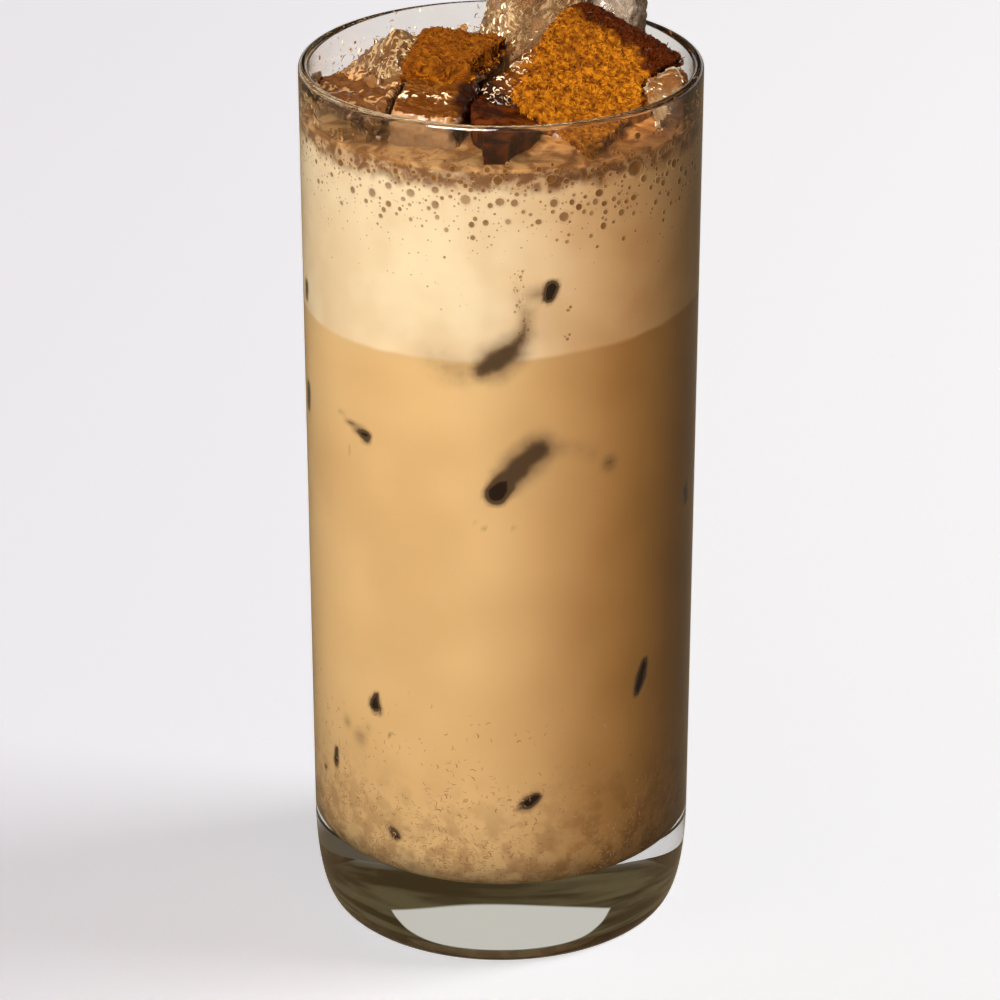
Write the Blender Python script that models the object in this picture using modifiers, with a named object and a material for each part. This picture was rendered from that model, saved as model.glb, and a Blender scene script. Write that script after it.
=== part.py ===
"""Iced chai latte in a tall straight glass, heaped with ice and dusted with cinnamon.

Metres, +Z up. The origin is the centre of the glass's foot, and the side with the
large cinnamon-covered cube faces -Y.
"""

import math
import random

import bmesh
import bpy
from mathutils import Matrix, Vector, noise

MM = 0.001

# Glass: a straight tumbler with a thick base and a rounded heel
GLASS_HEIGHT = 0.1535
RIM_RADIUS = 0.0335
HEEL_RADIUS = 0.03295
HEEL_HEIGHT = 0.0163
HEEL_INSET = 0.0034
WALL = 0.0017
FLOOR_HEIGHT = 0.0145
FLOOR_CORNER = 0.0070
PUNT_RADIUS = 0.0225
PUNT_DEPTH = 0.0009
SIDES = 48
CORNER_STEPS = 6
HEEL_STEPS = 8
SHARP_ANGLE = 35

# Drink: three layers that fill the glass
GAP = 0.0003
CHAI_TOP = 0.1132
CHAI_SLOPE = 0.038
FOAM_TOP = 0.1430
FROTH_TOP = 0.1464
FROTH_SWELL = 0.0008
FROTH_SWELL_SPAN = 0.011
FROTH_RINGS = 9

# Ice: worn cubes, each with its centre, its size, its turn about its own upright
# axis and its lean towards a compass angle (0 is +X, 90 is +Y), in mm and degrees
CUBES = {
    "ice_large": dict(centre=(12.2, -2.2, 143.8), size=(24.0, 32.0, 20), spin=-31, lean=28, towards=-68),
    "ice_middle": dict(centre=(-9.0, -8.6, 143.8), size=(14.5, 32, 20), spin=-14, lean=8, towards=-75),
    "ice_back": dict(centre=(3.5, 17.0, 152.5), size=(15, 13, 25), spin=28, lean=14, towards=-40),
    "ice_behind": dict(centre=(19.0, 18.5, 150.5), size=(13, 12, 23), spin=-30, lean=8, towards=30),
    "ice_peak": dict(centre=(-16.8, 6.0, 147.2), size=(12.5, 14, 16), spin=6, lean=44, towards=-30),
    "ice_low": dict(centre=(-22.0, -7.0, 142.2), size=(20, 27, 18), spin=18, lean=6, towards=170),
    "ice_side": dict(centre=(27.6, -9.0, 145.0), size=(8, 15, 15), spin=14, lean=8, towards=-120),
}
CORNER_DRIFT = 0.0016
FACE_CUTS = 3
EDGE_ROUND = 0.0022
WOBBLE = 0.0006
WOBBLE_SPAN = 0.006
SUNK_REACH = 0.0295

# Cinnamon: a dry crust on the two cubes in front, by its outline seen from above
CRUST_BASE = 0.0003
CRUST_TOP = 0.0012
DUSTED = {
    "cinnamon_large": dict(
        cube="ice_large",
        outline=[
            (10, 9), (17, 10), (26, 7), (30, 2), (27, -4),
            (21, -15), (15, -23), (6, -21), (2, -15), (7, -3),
        ],
    ),
    "cinnamon_middle": dict(
        cube="ice_middle",
        outline=[(-15, 4), (-9, 8), (-3, 9), (2, 8), (0, -1), (-5, -9), (-10, -10), (-17, -8)],
    ),
}
DUST_RAGGED = 0.5
DUST_STEPS = 3

# Colours read off the real thing
GLASS_COLOUR = (0.93, 0.95, 0.92)
CHAI_COLOUR = (0.70, 0.42, 0.19)
FOAM_COLOUR = (0.93, 0.71, 0.42)
FROTH_COLOUR = (0.48, 0.26, 0.12)
ICE_COLOUR = (0.66, 0.55, 0.44)
CINNAMON_COLOUR = (0.50, 0.18, 0.02)

PARTS = "iced_chai_latte"
CUTTERS = "cutters"


def collection(name):
    found = bpy.data.collections.get(name)
    if found is None:
        found = bpy.data.collections.new(name)
        bpy.context.scene.collection.children.link(found)
    return found


def material(name, colour, roughness, transmission=0.0):
    made = bpy.data.materials.new(name)
    made.use_nodes = True
    shader = made.node_tree.nodes["Principled BSDF"]
    shader.inputs["Base Color"].default_value = (*colour, 1)
    shader.inputs["Roughness"].default_value = roughness
    shader.inputs["Metallic"].default_value = 0.0
    shader.inputs["Transmission Weight"].default_value = transmission
    return made


def add_object(name, mesh, finish=None):
    """A new object for a mesh: a part when it has a finish, or else a cutter."""
    made = bpy.data.objects.new(name, mesh)
    if finish:
        collection(PARTS).objects.link(made)
        mesh.materials.append(finish)
    else:
        collection(CUTTERS).objects.link(made)
        made.hide_render = True
        made.display_type = "WIRE"
    return made


def apply_modifiers(piece):
    """Makes what the modifiers show the object's own mesh."""
    graph = bpy.context.evaluated_depsgraph_get()
    made = bpy.data.meshes.new_from_object(piece.evaluated_get(graph))
    old = piece.data
    piece.modifiers.clear()
    piece.data = made
    bpy.data.meshes.remove(old)


def shade(piece):
    piece.data.shade_smooth()
    piece.data.set_sharp_from_angle(angle=math.radians(SHARP_ANGLE))


def arc(centre, reach, start, end, steps):
    """Points (radius, height) along a quarter ellipse, both ends included."""
    for step in range(steps + 1):
        angle = math.radians(start + (end - start) * step / steps)
        yield (centre[0] + reach[0] * math.cos(angle), centre[1] + reach[1] * math.sin(angle))


def turned(name, profile, finish=None):
    """A solid turned from an outline of (radius, height) that ends on the axis."""
    mesh = bpy.data.meshes.new(name)
    points = [(radius, 0, height) for radius, height in profile]
    mesh.from_pydata(points, [(at, at + 1) for at in range(len(points) - 1)], [])
    made = add_object(name, mesh, finish)
    screw = made.modifiers.new("turn", "SCREW")
    screw.steps = SIDES
    screw.render_steps = SIDES
    screw.use_merge_vertices = True
    screw.merge_threshold = 0.00001
    apply_modifiers(made)
    return made


def outer_radius(height):
    """The straight wall's outside, which widens a little from heel to rim."""
    rise = (height - HEEL_HEIGHT) / (GLASS_HEIGHT - HEEL_HEIGHT)
    return HEEL_RADIUS + (RIM_RADIUS - HEEL_RADIUS) * rise


def inner_radius(height, clear=0.0):
    """The inside of the wall and, below, of the rounded corner at the floor."""
    wall = outer_radius(height) - WALL
    drop = FLOOR_HEIGHT + FLOOR_CORNER - height
    if drop > 0:
        wall -= FLOOR_CORNER - math.sqrt(max(FLOOR_CORNER**2 - drop**2, 0))
    return wall - clear


def build_glass():
    half = WALL / 2
    corner_top = FLOOR_HEIGHT + FLOOR_CORNER
    corner = (outer_radius(corner_top) - WALL - FLOOR_CORNER, corner_top)
    rim = (RIM_RADIUS - half, GLASS_HEIGHT - half)
    heel = (HEEL_RADIUS - HEEL_INSET, HEEL_HEIGHT)
    profile = [(0, FLOOR_HEIGHT)]
    profile += arc(corner, (FLOOR_CORNER, FLOOR_CORNER), -90, 0, CORNER_STEPS)
    profile += arc(rim, (half, half), 180, 0, CORNER_STEPS)
    profile += arc(heel, (HEEL_INSET, HEEL_HEIGHT), 0, -90, HEEL_STEPS)
    profile += [(PUNT_RADIUS, 0), (PUNT_RADIUS - PUNT_DEPTH, PUNT_DEPTH), (0, PUNT_DEPTH)]
    glass = turned("glass", profile, material("glass", GLASS_COLOUR, 0.02, 1.0))
    shade(glass)


def chai_surface(x):
    """Height of the sloping line between the chai and the milk foam."""
    return CHAI_TOP + CHAI_SLOPE * x


def build_chai():
    floor = FLOOR_HEIGHT + GAP
    corner = FLOOR_CORNER - GAP
    corner_top = floor + corner
    corner_wall = inner_radius(corner_top, GAP)
    profile = [(0, CHAI_TOP), (inner_radius(CHAI_TOP, GAP), CHAI_TOP)]
    profile += arc((corner_wall - corner, corner_top), (corner, corner), 0, -90, CORNER_STEPS)
    profile += [(0, floor)]
    chai = turned("chai", profile, material("chai", CHAI_COLOUR, 0.35))
    for corner in chai.data.vertices:
        if corner.co.z > CHAI_TOP - GAP:
            corner.co.z = chai_surface(corner.co.x)
    shade(chai)


def build_foam():
    profile = [
        (0, FOAM_TOP),
        (inner_radius(FOAM_TOP, GAP), FOAM_TOP),
        (inner_radius(CHAI_TOP, GAP), CHAI_TOP),
        (0, CHAI_TOP),
    ]
    foam = turned("milk_foam", profile, material("milk_foam", FOAM_COLOUR, 0.5))
    for corner in foam.data.vertices:
        if corner.co.z < CHAI_TOP + GAP:
            corner.co.z = chai_surface(corner.co.x) + GAP
    shade(foam)
    return foam


def build_froth():
    bottom = FOAM_TOP + GAP
    edge = inner_radius(FROTH_TOP, GAP)
    profile = [(edge * ring / FROTH_RINGS, FROTH_TOP) for ring in range(FROTH_RINGS + 1)]
    profile += [(inner_radius(bottom, GAP), bottom), (0, bottom)]
    froth = turned("froth", profile, material("froth", FROTH_COLOUR, 0.4))
    for corner in froth.data.vertices:
        if corner.co.z > FROTH_TOP - GAP:
            corner.co.z += FROTH_SWELL * noise.noise(corner.co / FROTH_SWELL_SPAN)
    shade(froth)
    return froth


def build_blank(name, centre, size, spin, lean, towards):
    """A worn ice cube: a box with drifted corners, round edges and a wavy skin."""
    mesh = bmesh.new()
    bmesh.ops.create_cube(mesh, size=1.0)
    draw = random.Random(name)
    for corner in mesh.verts:
        drift = Vector([draw.uniform(-CORNER_DRIFT, CORNER_DRIFT) for _ in range(3)])
        corner.co = corner.co * Vector(size) * MM + drift
    across = math.radians(towards + 90)
    tilt = Matrix.Rotation(math.radians(lean), 4, (math.cos(across), math.sin(across), 0))
    turn = Matrix.Rotation(math.radians(spin), 4, "Z")
    place = Matrix.Translation(Vector(centre) * MM)
    bmesh.ops.transform(mesh, matrix=place @ tilt @ turn, verts=mesh.verts)
    bmesh.ops.subdivide_edges(mesh, edges=mesh.edges, cuts=FACE_CUTS, use_grid_fill=True)
    data = bpy.data.meshes.new(name)
    mesh.to_mesh(data)
    mesh.free()
    cube = add_object(name, data, material(name, ICE_COLOUR, 0.08, 0.6))
    edges = cube.modifiers.new("edges", "BEVEL")
    edges.width = EDGE_ROUND
    edges.segments = 2
    edges.limit_method = "ANGLE"
    apply_modifiers(cube)
    roughen(cube, WOBBLE, WOBBLE_SPAN)
    return cube


def roughen(piece, height, span):
    """Moves a skin in and out along its normals by smooth noise."""
    places = [(corner, corner.co.copy(), corner.normal.copy()) for corner in piece.data.vertices]
    for corner, at, out in places:
        corner.co = at + out * height * noise.noise(at / span)


def grown(piece, name, by, finish=None):
    """A copy of a convex piece's shape, larger all over: a cutter, or a part."""
    made = add_object(name, piece.data.copy(), finish)
    places = [(corner, corner.co.copy(), corner.normal.copy()) for corner in made.data.vertices]
    for corner, at, out in places:
        corner.co = at + out * by
    return made


def combine(piece, tool, operation, solver="EXACT"):
    cut = piece.modifiers.new(tool.name, "BOOLEAN")
    cut.object = tool
    cut.operation = operation
    cut.solver = solver
    apply_modifiers(piece)


def build_room(name, clear):
    """Where ice may lie, as a cutter: narrower in the froth, which rings the ice."""
    top = GLASS_HEIGHT + RIM_RADIUS
    level = FROTH_TOP + FROTH_SWELL
    wide = inner_radius(level, GAP - clear)
    sunk = SUNK_REACH + clear
    profile = [(0, top), (wide, top), (wide, level + wide - sunk), (sunk, level)]
    return turned(name, profile + [(sunk, CHAI_TOP), (0, CHAI_TOP)])


def build_ice():
    """The cubes in order, each kept inside the glass and cut clear of the last ones.

    Returns the uncut blanks and, for each, a cutter that leaves the gap round it.
    """
    room = build_room("room", 0)
    blanks, cutters = {}, {}
    for name, shape in CUBES.items():
        cube = build_blank(name, **shape)
        blanks[name] = grown(cube, f"{name}_blank", 0)
        combine(cube, room, "INTERSECT")
        for cutter in cutters.values():
            combine(cube, cutter, "DIFFERENCE")
        shade(cube)
        cutters[name] = grown(blanks[name], f"{name}_cutter", GAP)
    return blanks, cutters


def build_bed(cutters):
    """The hollow that all the ice together takes up in the drink."""
    bed = add_object("bed", bpy.data.meshes.new("bed"))
    for cutter in cutters.values():
        combine(bed, cutter, "UNION")
    combine(bed, build_room("bed_room", GAP), "INTERSECT")
    return bed


def dust_outline(name, outline):
    """An upright prism whose ragged outline bounds a dusting of cinnamon."""
    draw = random.Random(name)
    start = FROTH_TOP + FROTH_SWELL + GAP
    mesh = bmesh.new()
    ring = []
    for at, following in zip(outline, outline[1:] + outline[:1]):
        for step in range(DUST_STEPS):
            along = Vector(at).lerp(Vector(following), step / DUST_STEPS)
            ragged = Vector([draw.uniform(-DUST_RAGGED, DUST_RAGGED) for _ in range(2)])
            ring.append(mesh.verts.new((*((along + ragged) * MM), start)))
    face = mesh.faces.new(ring)
    raised = bmesh.ops.extrude_face_region(mesh, geom=[face])["geom"]
    tops = [item for item in raised if isinstance(item, bmesh.types.BMVert)]
    bmesh.ops.translate(mesh, verts=tops, vec=(0, 0, RIM_RADIUS))
    bmesh.ops.recalc_face_normals(mesh, faces=mesh.faces)
    data = bpy.data.meshes.new(name)
    mesh.to_mesh(data)
    mesh.free()
    return add_object(f"{name}_outline", data)


def build_cinnamon(blanks, cutters):
    """Each crust is the skin between two sizes of its cube, inside a ragged outline.

    The skins are so thin that the exact solver loses them.
    """
    for name, dust in DUSTED.items():
        blank = blanks[dust["cube"]]
        crust = grown(blank, name, CRUST_TOP, material(name, CINNAMON_COLOUR, 0.9))
        combine(crust, dust_outline(name, dust["outline"]), "INTERSECT", "MANIFOLD")
        combine(crust, grown(blank, f"{name}_base", CRUST_BASE), "DIFFERENCE", "MANIFOLD")
        for other, cutter in cutters.items():
            if other != dust["cube"]:
                combine(crust, cutter, "DIFFERENCE", "MANIFOLD")
        shade(crust)


def build():
    for old in list(bpy.data.objects):
        bpy.data.objects.remove(old, do_unlink=True)
    build_glass()
    build_chai()
    foam = build_foam()
    froth = build_froth()
    blanks, cutters = build_ice()
    bed = build_bed(cutters)
    for layer in (foam, froth):
        combine(layer, bed, "DIFFERENCE")
        shade(layer)
    build_cinnamon(blanks, cutters)


build()
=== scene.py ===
"""The looks of an iced chai latte: its glass, drink, foam, ice, cinnamon and studio light."""

import math
import random

import bpy
import numpy as np
from mathutils import Matrix, Vector, kdtree, noise
from mathutils.bvhtree import BVHTree


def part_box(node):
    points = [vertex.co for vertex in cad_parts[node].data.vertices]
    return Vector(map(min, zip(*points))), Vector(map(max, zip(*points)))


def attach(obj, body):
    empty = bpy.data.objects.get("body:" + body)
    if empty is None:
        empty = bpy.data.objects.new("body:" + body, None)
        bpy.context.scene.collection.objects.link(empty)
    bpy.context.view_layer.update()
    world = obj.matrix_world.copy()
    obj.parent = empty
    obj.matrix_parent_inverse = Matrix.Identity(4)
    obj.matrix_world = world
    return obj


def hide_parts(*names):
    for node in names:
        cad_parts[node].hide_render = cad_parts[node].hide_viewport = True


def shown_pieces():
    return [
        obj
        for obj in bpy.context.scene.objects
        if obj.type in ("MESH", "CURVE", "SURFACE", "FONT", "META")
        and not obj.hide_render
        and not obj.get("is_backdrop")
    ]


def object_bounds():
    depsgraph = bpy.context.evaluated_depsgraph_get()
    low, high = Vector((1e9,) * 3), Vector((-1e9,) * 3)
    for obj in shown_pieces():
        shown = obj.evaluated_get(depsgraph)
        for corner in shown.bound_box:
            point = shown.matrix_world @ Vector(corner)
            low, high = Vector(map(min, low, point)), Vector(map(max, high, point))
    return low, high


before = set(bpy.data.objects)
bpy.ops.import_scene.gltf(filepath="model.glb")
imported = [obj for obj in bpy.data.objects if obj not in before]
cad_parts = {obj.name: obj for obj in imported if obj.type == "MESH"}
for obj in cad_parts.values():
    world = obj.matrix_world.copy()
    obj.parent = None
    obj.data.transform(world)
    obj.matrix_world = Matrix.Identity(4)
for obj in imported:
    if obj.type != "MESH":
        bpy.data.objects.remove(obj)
cad_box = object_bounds()

# The glass
# A straight tumbler of clear soda glass, pressed in one piece: a thin wall that widens a
# little towards a fire-polished rim, and a thick base with a rounded heel and a shallow punt.
MM = 0.001
GLASS_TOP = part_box("glass")[1].z
RIM_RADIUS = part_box("glass")[1].x
HEEL_RADIUS = 32.95 * MM
HEEL_HEIGHT = 16.3 * MM
HEEL_INSET = 3.4 * MM
WALL = 1.7 * MM
BASE_TOP = 14.5 * MM
BASE_CORNER = 7.0 * MM
PUNT_RADIUS = 22.5 * MM
PUNT_DEPTH = 0.9 * MM
GLASS_SIDES = 192
GLASS_IOR = 1.52
RESIDUE_FOOT = (144.0 * MM, 148.0 * MM)
RESIDUE_BEHIND = 10.0 * MM


def activate(piece):
    """Selects one piece alone, ready for an operator."""
    bpy.ops.object.select_all(action="DESELECT")
    piece.select_set(True)
    bpy.context.view_layer.objects.active = piece


def smoothed(piece, angle=35):
    activate(piece)
    bpy.ops.object.shade_smooth_by_angle(angle=math.radians(angle))
    return piece


def disc(sides, radius, place, turn=(0, 0, 0)):
    """A flat filled disc, the only piece selected."""
    bpy.ops.object.select_all(action="DESELECT")
    bpy.ops.mesh.primitive_circle_add(
        vertices=sides, radius=radius, fill_type="NGON", location=place, rotation=turn
    )
    return bpy.context.object


def closed_up():
    """Ends the shaping of a piece, with its faces turned outwards."""
    bpy.ops.mesh.select_all(action="SELECT")
    bpy.ops.mesh.normals_make_consistent(inside=False)
    bpy.ops.object.mode_set(mode="OBJECT")
    bpy.ops.object.transform_apply()


def turned(name, outline, sides):
    """A round piece drawn up ring by ring from (radius, height), and closed at both ends."""
    radius, height = outline[0]
    made = disc(sides, radius, (0, 0, height))
    made.name = name
    bpy.ops.object.mode_set(mode="EDIT")
    for wider, higher in outline[1:]:
        step = (0, 0, higher - height)
        bpy.ops.mesh.extrude_region_move(TRANSFORM_OT_translate={"value": step})
        grow = wider / radius
        bpy.ops.transform.resize(value=(grow, grow, 1), center_override=(0, 0, 0))
        radius, height = wider, higher
    closed_up()
    return made


def arc(centre, reach, start, end, steps):
    """Points (radius, height) along a quarter ellipse, both ends included."""
    for step in range(steps + 1):
        angle = math.radians(start + (end - start) * step / steps)
        yield (centre[0] + reach[0] * math.cos(angle), centre[1] + reach[1] * math.sin(angle))


def outer_radius(height):
    rise = (height - HEEL_HEIGHT) / (GLASS_TOP - HEEL_HEIGHT)
    return HEEL_RADIUS + (RIM_RADIUS - HEEL_RADIUS) * rise


def inner_radius(height):
    """The inside of the wall and, below, of the rounded corner at the base."""
    drop = min(BASE_TOP + BASE_CORNER - height, BASE_CORNER)
    corner = BASE_CORNER - math.sqrt(BASE_CORNER**2 - drop**2) if drop > 0 else 0
    return outer_radius(height) - WALL - corner


def node(tree, kind, feeds=None, **settings):
    """Adds a shader node and feeds its inputs, each by a value or by another node's output."""
    made = tree.nodes.new("ShaderNode" + kind)
    for name, value in settings.items():
        setattr(made, name, value)
    for name, value in (feeds or {}).items():
        if isinstance(value, bpy.types.NodeSocket):
            tree.links.new(value, made.inputs[name])
        else:
            made.inputs[name].default_value = value
    return made


def maths(tree, operation, *values):
    feeds = dict(enumerate(values))
    return node(tree, "Math", feeds, operation=operation).outputs[0]


def product(tree, first, *others):
    """Multiplies masks or numbers with one another."""
    for other in others:
        first = maths(tree, "MULTIPLY", first, other)
    return first


def split(tree, place):
    """The X, Y and Z of a place."""
    return node(tree, "SeparateXYZ", {0: place}).outputs


def graded(tree, value, start, end, low=0.0, high=1.0):
    """Eases from low to high as the value goes from start to end."""
    feeds = {"Value": value, "From Min": start, "From Max": end, "To Min": low, "To Max": high}
    return node(tree, "MapRange", feeds, interpolation_type="SMOOTHSTEP").outputs[0]


def mixed(tree, share, first, second):
    feeds = {0: share, 6: first, 7: second}
    return node(tree, "Mix", feeds, data_type="RGBA").outputs[2]


def cloud(tree, place, scale, detail=3.0, distortion=0.0):
    feeds = {"Vector": place, "Scale": scale, "Detail": detail, "Distortion": distortion}
    return node(tree, "TexNoise", feeds).outputs[0]


def colour(red, green, blue):
    return (red, green, blue, 1.0)


def finish(name, roughness, **fixed):
    """A new material: its node tree, its surface shader and where its pattern is read."""
    made = bpy.data.materials.new(name)
    made.use_nodes = True
    tree = made.node_tree
    surface = tree.nodes["Principled BSDF"]
    surface.inputs["Roughness"].default_value = roughness
    for socket, value in fixed.items():
        surface.inputs[socket.replace("_", " ")].default_value = value
    return made, tree, surface, node(tree, "TexCoord").outputs["Object"]


def uneven(tree, surface, place, scale, strength, depth, detail=2.0):
    """Roughens a surface with a fine bump, its depth in metres."""
    feeds = {"Height": cloud(tree, place, scale, detail), "Strength": strength, "Distance": depth}
    bump = node(tree, "Bump", feeds)
    tree.links.new(bump.outputs[0], surface.inputs["Normal"])


def dress(piece, look, slot, *nodes):
    """Gives a piece its material and its place on the body."""
    piece.data.materials.clear()
    piece.data.materials.append(look)
    if nodes:
        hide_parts(*nodes)
    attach(piece, "root")


def build_glass():
    half = WALL / 2
    corner_top = BASE_TOP + BASE_CORNER
    corner = (outer_radius(corner_top) - WALL - BASE_CORNER, corner_top)
    outline = [(PUNT_RADIUS - PUNT_DEPTH, PUNT_DEPTH), (PUNT_RADIUS, 0)]
    outline += arc((HEEL_RADIUS - HEEL_INSET, HEEL_HEIGHT), (HEEL_INSET, HEEL_HEIGHT), -90, 0, 24)
    outline += arc((RIM_RADIUS - half, GLASS_TOP - half), (half, half), 0, 180, 14)
    outline += arc(corner, (BASE_CORNER, BASE_CORNER), 0, -90, 16)
    return smoothed(turned("tumbler", outline, GLASS_SIDES), 40)


RESIDUE = colour(0.86, 0.82, 0.75)
RESIDUE_THIN = colour(0.96, 0.94, 0.90)
GLASS_LIGHT = colour(0.985, 0.99, 0.98)
GLASS_DEEP = colour(0.97, 0.98, 0.965)


def glass_look():
    """Clear glass, with a thin dried film of froth above the drink at the back."""
    look, tree, surface, place = finish("clear glass", 0.0, IOR=GLASS_IOR, Transmission_Weight=1.0)
    tint = mixed(tree, cloud(tree, place, 30), GLASS_LIGHT, GLASS_DEEP)
    parts = split(tree, place)
    high = graded(tree, parts["Z"], *RESIDUE_FOOT)
    behind = graded(tree, parts["Y"], -RESIDUE_BEHIND, RESIDUE_BEHIND)
    residue = mixed(tree, cloud(tree, place, 260, 4), RESIDUE, RESIDUE_THIN)
    tint = mixed(tree, product(tree, high, behind), tint, residue)
    tree.links.new(tint, surface.inputs["Base Color"])
    uneven(tree, surface, place, 45, 0.12, 0.0006, 1.0)
    return look


dress(build_glass(), glass_look(), "glass", "glass")

# The drink's colour
# Milky black tea below, warm milk foam above and a brown froth line at the ice. Ground spice
# settles low down, and dark marks of painted shade show where sunk ice touches the glass.
# Towards the right the tea and foam are painted darker and deeper in colour, as shade.
CHAI_TOP = 113.2 * MM
CHAI_SLOPE = 0.038
FOAM_TOP = 143.0 * MM
REACH = 0.2 * MM
CHAI_DEEP = colour(0.69, 0.455, 0.205)
CHAI_PALE = colour(0.77, 0.525, 0.250)
FOAM_DEEP = colour(0.81, 0.625, 0.390)
FOAM_PALE = colour(0.90, 0.740, 0.500)
FROTH_BROWN = colour(0.20, 0.082, 0.026)
FROTH_PALE = colour(0.60, 0.400, 0.220)
FROTH_RUST = colour(0.27, 0.098, 0.022)
FROTH_TAN = colour(0.66, 0.365, 0.135)
SHADED_SIDE_TEA = colour(0.66, 0.47, 0.285)
SHADED_SIDE_FOAM = colour(0.74, 0.465, 0.20)
SPICE = colour(0.24, 0.105, 0.035)
SUNK_ICE_SHADE_HALO = colour(0.20, 0.110, 0.052)
ICE_SHADE = colour(0.082, 0.047, 0.024)
SUNK_ICE_SHADE_CORE = colour(0.012, 0.006, 0.004)
FOAM_LINE = (CHAI_TOP - 0.4 * MM, CHAI_TOP + 0.6 * MM)
SETTLED_BAND = (42.0 * MM, 16.0 * MM)
RISING_BAND = (115.0 * MM, 142.0 * MM)
FROTH_LINE = (141.5 * MM, 144.0 * MM)
TOP_LINE = (145.2 * MM, 145.7 * MM)
SHADED_SIDE_BAND = (-7.0 * MM, 24.0 * MM)


def effect(name, inputs, outputs):
    """A shader node group with named inputs and outputs."""
    tree = bpy.data.node_groups.new(name, "ShaderNodeTree")
    for label, kind, start in inputs:
        socket = tree.interface.new_socket(label, in_out="INPUT", socket_type="NodeSocket" + kind)
        if start is not None:
            socket.default_value = start
    for label, kind in outputs:
        tree.interface.new_socket(label, in_out="OUTPUT", socket_type="NodeSocket" + kind)
    return tree, tree.nodes.new("NodeGroupInput").outputs, tree.nodes.new("NodeGroupOutput").inputs


def placed(tree, group, feeds):
    """Puts a node group into a material with its own values."""
    return node(tree, "Group", feeds, node_tree=group).outputs


def wavering(tree, place, scale, swing, detail=3.0):
    """Noise that goes half its swing to either side of nothing."""
    return maths(tree, "MULTIPLY_ADD", cloud(tree, place, scale, detail), swing, -swing / 2)


def stored(tree, name):
    """Reads a number that is stored on the points of a piece."""
    return node(tree, "Attribute", attribute_name=name).outputs["Fac"]


def drink_effect():
    """The drink's colour at each place, from the settled spice up to the froth, with painted shade on
    the right side and at the sunk ice.
    """
    inputs = [("Place", "Vector", None), ("Ice", "Float", 0.0)]
    tree, given, wanted = effect("drink", inputs, [("Colour", "Color")])
    place, ice = given["Place"], given["Ice"]
    parts = split(tree, place)
    level = maths(tree, "MULTIPLY_ADD", parts["X"], -CHAI_SLOPE, parts["Z"])
    level = maths(tree, "ADD", level, wavering(tree, place, 130, 0.0012, 1))
    is_foam = graded(tree, level, *FOAM_LINE)

    chai = mixed(tree, graded(tree, cloud(tree, place, 55, 1), 0.3, 0.7), CHAI_DEEP, CHAI_PALE)
    patchy = graded(tree, cloud(tree, place, 300), 0.40, 0.64, 0.25, 1.0)
    settled = product(tree, graded(tree, parts["Z"], *SETTLED_BAND), patchy, 0.60)
    chai = mixed(tree, settled, chai, SPICE)

    foam = mixed(tree, graded(tree, cloud(tree, place, 90, 2), 0.3, 0.7), FOAM_DEEP, FOAM_PALE)
    specks = node(tree, "TexVoronoi", {"Vector": place, "Scale": 620.0}).outputs
    size = node(tree, "SeparateColor", {0: specks["Color"]}).outputs[0]
    size = product(tree, size, graded(tree, parts["Z"], *RISING_BAND, 0.02, 0.14))
    dot = maths(tree, "LESS_THAN", specks["Distance"], size)
    foam = mixed(tree, product(tree, dot, 0.6), foam, FROTH_BROWN)

    swirls = graded(tree, cloud(tree, place, 420, 3, 0.6), 0.42, 0.66)
    froth = mixed(tree, swirls, FROTH_BROWN, FROTH_PALE)
    swirls = graded(tree, cloud(tree, place, 330, 3, 0.8), 0.38, 0.64)
    top = mixed(tree, swirls, FROTH_RUST, FROTH_TAN)
    froth = mixed(tree, graded(tree, parts["Z"], *TOP_LINE), froth, top)
    height = maths(tree, "ADD", parts["Z"], wavering(tree, place, 240, 0.0040))
    foam = mixed(tree, graded(tree, height, *FROTH_LINE), foam, froth)

    drink = mixed(tree, is_foam, chai, foam)
    # Painted shade: the right side of the tea and foam is multiplied darker and deeper in colour.
    aside = graded(tree, parts["X"], *SHADED_SIDE_BAND)
    aside = product(tree, aside, maths(tree, "MULTIPLY_ADD", is_foam, -0.18, 1.0))
    feeds = {0: aside, 6: drink, 7: mixed(tree, is_foam, SHADED_SIDE_TEA, SHADED_SIDE_FOAM)}
    drink = node(tree, "Mix", feeds, data_type="RGBA", blend_type="MULTIPLY").outputs[2]

    # Painted shade of the sunk ice: a soft halo, a darker body and a near-black core.
    torn = product(tree, wavering(tree, place, 420, 0.16, 2), graded(tree, ice, 0.0, 0.2))
    near = maths(tree, "ADD", ice, torn)
    drink = mixed(tree, product(tree, graded(tree, near, 0.02, 0.54), 0.9), drink, SUNK_ICE_SHADE_HALO)
    drink = mixed(tree, graded(tree, near, 0.35, 0.52), drink, ICE_SHADE)
    core = maths(tree, "ADD", near, wavering(tree, place, 260, 0.24, 2))
    core = graded(tree, core, 0.66, 0.78)
    tree.links.new(mixed(tree, core, drink, SUNK_ICE_SHADE_CORE), wanted["Colour"])
    return tree


DRINK = drink_effect()


def drink_look(name, ice=True):
    look, tree, surface, place = finish(name, 0.6, Specular_IOR_Level=0.0)
    feeds = {"Place": place}
    if ice:
        feeds["Ice"] = stored(tree, "ice")
    tree.links.new(placed(tree, DRINK, feeds)["Colour"], surface.inputs["Base Color"])
    return look, tree, surface, place
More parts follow.
